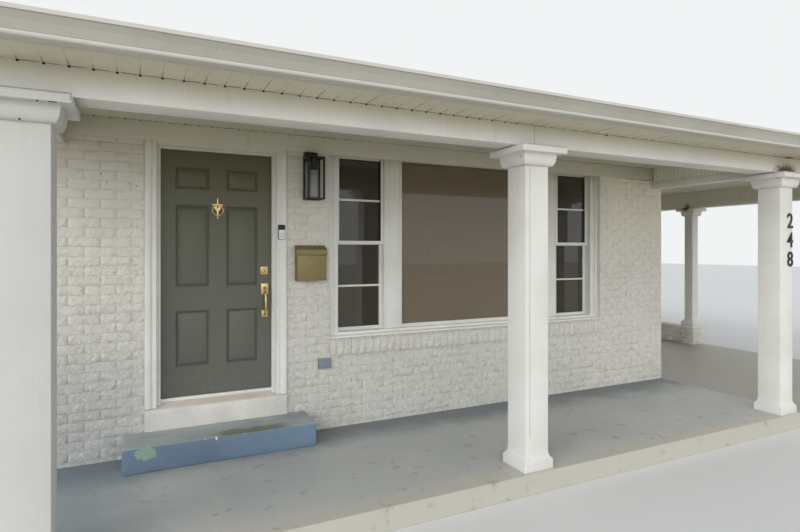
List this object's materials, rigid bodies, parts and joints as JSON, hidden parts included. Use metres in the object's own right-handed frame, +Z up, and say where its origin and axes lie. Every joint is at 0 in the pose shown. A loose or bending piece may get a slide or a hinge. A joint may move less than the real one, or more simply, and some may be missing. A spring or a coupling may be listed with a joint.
{
  "type": "brick bungalow",
  "caption": "Small single-storey brick bungalow with a hipped roof, a raised front porch on square columns, a panelled front door, a picture window group and an open carport.",
  "frame": {"origin": "on the ground, on the line of the front wall, behind the middle porch column", "axes": "+X to the right along the front, +Y into the house, +Z up"},
  "size_m": [10.728, 9.833, 4.4039],
  "materials": {
    "painted_brick": "matt white paint on rough brick",
    "painted_trim": "satin white paint",
    "soffit_boards": "cream paint",
    "gutter_metal": "baked off-white enamel",
    "door_paint": "satin grey-green paint",
    "step_paint": "worn blue-grey masonry paint",
    "porch_concrete": "painted concrete",
    "carport_concrete": "bare concrete",
    "shingles": "asphalt shingles with mineral grit",
    "polished_brass": "polished",
    "aged_brass": "aged",
    "black_iron": "satin black",
    "window_glass": "clear",
    "lantern_glass": "clear",
    "room_floor": "satin boards",
    "ceiling_plaster": "matt",
    "doorbell_plastic": "satin"
  },
  "bodies": {
    "house": {"porch_slab": "porch_concrete", "entry_step": "step_paint", "carport_slab": "carport_concrete", "house_floor": "room_floor", "front_wall_left": "painted_brick", "front_wall_under_door": "painted_brick", "front_wall_over_door": "painted_brick", "front_wall_middle": "painted_brick", "front_wall_under_window": "painted_brick", "front_wall_over_window": "painted_brick", "front_wall_right": "painted_brick", "left_wall": "painted_brick", "back_wall": "painted_brick", "right_wall": "painted_brick", "window_sill_bricks": "painted_brick", "door_frame": "painted_trim", "front_window_frame": "painted_trim", "front_window_sashes": "painted_trim", "front_window_glass": "window_glass", "side_window_frames": "painted_trim", "side_window_glass": "window_glass", "frieze_board": "painted_trim", "porch_ceiling": "soffit_boards", "porch_beam": "painted_trim", "porch_headers": "painted_trim", "porch_columns": "painted_trim", "carport_columns": "painted_trim", "carport_low_wall": "painted_brick", "carport_ceiling": "soffit_boards", "house_ceiling": "ceiling_plaster", "eave_soffit": "soffit_boards", "fascia": "gutter_metal", "gutter": "gutter_metal", "downspouts": "gutter_metal", "roof": "shingles", "wall_lantern": "black_iron", "lantern_glass": "lantern_glass", "mailbox": "aged_brass", "doorbell": "doorbell_plastic", "outlet_cover": "step_paint"},
    "front_door": {"front_door": "door_paint", "door_hinges": "polished_brass", "door_handle": "polished_brass", "deadbolt": "polished_brass", "knocker_plate": "polished_brass"},
    "knocker_ring": {"knocker_ring": "polished_brass"},
    "mailbox_lid": {"mailbox_lid": "aged_brass"}
  },
  "joints": [
    {"name": "front_door_hinge", "type": "hinge", "parent": "house", "child": "front_door", "pos_m": [-2.4945, 0.132, 1.58], "axis": [0, 0, 1], "range_deg": [0, 95]},
    {"name": "knocker_hinge", "type": "hinge", "parent": "front_door", "child": "knocker_ring", "pos_m": [-2.039, 0.06, 2.141], "axis": [-1, 0, 0], "range_deg": [0, 60]},
    {"name": "mailbox_lid_hinge", "type": "hinge", "parent": "house", "child": "mailbox_lid", "pos_m": [-1.266, -0.014, 1.802], "axis": [-1, 0, 0], "range_deg": [0, 90]}
  ]
}
